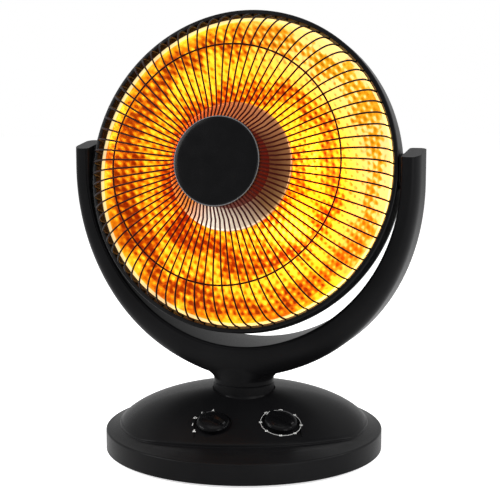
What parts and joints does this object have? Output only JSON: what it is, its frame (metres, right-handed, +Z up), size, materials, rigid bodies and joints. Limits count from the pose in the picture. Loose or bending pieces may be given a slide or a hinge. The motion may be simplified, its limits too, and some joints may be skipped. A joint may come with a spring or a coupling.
{
  "type": "parabolic heater",
  "caption": "Dish heater: a wire-guarded gold reflector with a central element, tilting in a swinging U-shaped yoke on a round domed base with a power selector and a timer.",
  "frame": {"origin": "on the floor, under the swing axis, at the centre of the base", "axes": "+Z up, -Y towards the front of the base where the knobs are, +X to the viewer's right"},
  "size_m": [0.3868, 0.316, 0.4933],
  "materials": {
    "housing_black": "fine-textured injection moulding",
    "knob_black": "satin moulding",
    "cap_black": "polished",
    "enamel_black": "baked enamel",
    "base_plate_paint": "powder coated",
    "guard_enamel": "dipped enamel",
    "reflector_gold": "hammered, gold anodised",
    "drum_red": "dark red enamel",
    "trim_bright": "bright plated",
    "shield_bright": "bright rolled sheet",
    "steel_zinc": "zinc plated",
    "motor_steel": "stamped can",
    "element_alloy": "glowing resistance wire",
    "ceramic": "glazed",
    "nylon_natural": "natural moulding",
    "switch_grey": "moulded switch body",
    "rubber_black": "moulded"
  },
  "bodies": {
    "base": {"base_cover": "housing_black", "base_plate": "base_plate_paint", "rubber_feet": "rubber_black", "base_screws": "steel_zinc", "neck_collar": "housing_black", "swing_bearing": "nylon_natural", "swing_motor": "motor_steel", "motor_screws": "steel_zinc", "selector_switch": "switch_grey", "timer": "switch_grey", "control_screws": "steel_zinc", "tip_switch": "switch_grey", "tip_spring": "steel_zinc", "cord_inlet_bush": "rubber_black", "terminal_block": "nylon_natural"},
    "selector": {"selector_knob": "knob_black", "selector_shaft": "steel_zinc"},
    "timer_dial": {"timer_knob": "knob_black", "timer_shaft": "steel_zinc"},
    "plunger": {"tip_plunger": "nylon_natural"},
    "crank": {"motor_crank": "nylon_natural"},
    "link": {"drive_link": "steel_zinc"},
    "yoke": {"swing_spindle": "steel_zinc", "spindle_clip": "steel_zinc", "spindle_cross_pin": "steel_zinc", "rocker_arm": "steel_zinc", "yoke_front": "housing_black", "yoke_rear": "housing_black", "yoke_screws": "steel_zinc", "arm_face_screws": "steel_zinc", "tilt_bushes": "nylon_natural", "stop_pins": "steel_zinc"},
    "head": {"rim_band": "enamel_black", "reflector": "reflector_gold", "back_shell": "enamel_black", "rear_housing": "housing_black", "rear_screws": "steel_zinc", "tilt_brackets": "housing_black", "tilt_pins": "steel_zinc", "friction_washers": "steel_zinc", "lock_nuts": "steel_zinc", "guard_wires": "guard_enamel", "guard_rings": "guard_enamel", "guard_hub": "guard_enamel", "centre_cap": "cap_black", "cap_trim": "trim_bright", "cap_drum": "drum_red", "heat_shield": "shield_bright", "element_core": "ceramic", "element_coil": "element_alloy", "element_holder": "ceramic", "centre_rod": "steel_zinc", "rod_nuts": "steel_zinc", "thermal_cutout": "switch_grey"}
  },
  "joints": [
    {"name": "swing", "type": "hinge", "parent": "base", "child": "yoke", "pos_m": [0, 0, 0.0766], "axis": [0, 0, 1], "range_deg": [-22, 68]},
    {"name": "tilt", "type": "hinge", "parent": "yoke", "child": "head", "pos_m": [0, 0, 0.3143], "axis": [-0.9205, 0.3907, 0], "range_deg": [-22.4, 17.6]},
    {"name": "selector_turn", "type": "hinge", "parent": "base", "child": "selector", "pos_m": [-0.037, -0.074, 0.04633], "axis": [-0.0632, -0.3774, 0.9239], "range_deg": [-60, 60]},
    {"name": "timer_turn", "type": "hinge", "parent": "base", "child": "timer_dial", "pos_m": [0.037, -0.074, 0.04633], "axis": [0.0632, -0.3774, 0.9239], "range_deg": [-45, 270]},
    {"name": "tip_plunger_slide", "type": "slide", "parent": "base", "child": "plunger", "axis": [0, 0, -1], "range_m": [0, 0.004], "stiffness_N_per_m": 200, "springref_m": 0.005, "deforming": ["tip_spring"]},
    {"name": "motor_crank_turn", "type": "hinge", "parent": "base", "child": "crank", "pos_m": [-0.009, 0.062, 0.029], "axis": [0, 0, 1], "range_deg": [-41, 125]},
    {"name": "drive_link_turn", "type": "hinge", "parent": "crank", "child": "link", "pos_m": [-0.01843, 0.06825, 0.0324], "axis": [0, 0, 1], "range_deg": [-125, 41]}
  ],
  "couplings": [
    {"joint": "motor_crank_turn", "follows": "swing", "ratio": 1.82},
    {"joint": "drive_link_turn", "follows": "swing", "ratio": -1.82}
  ]
}
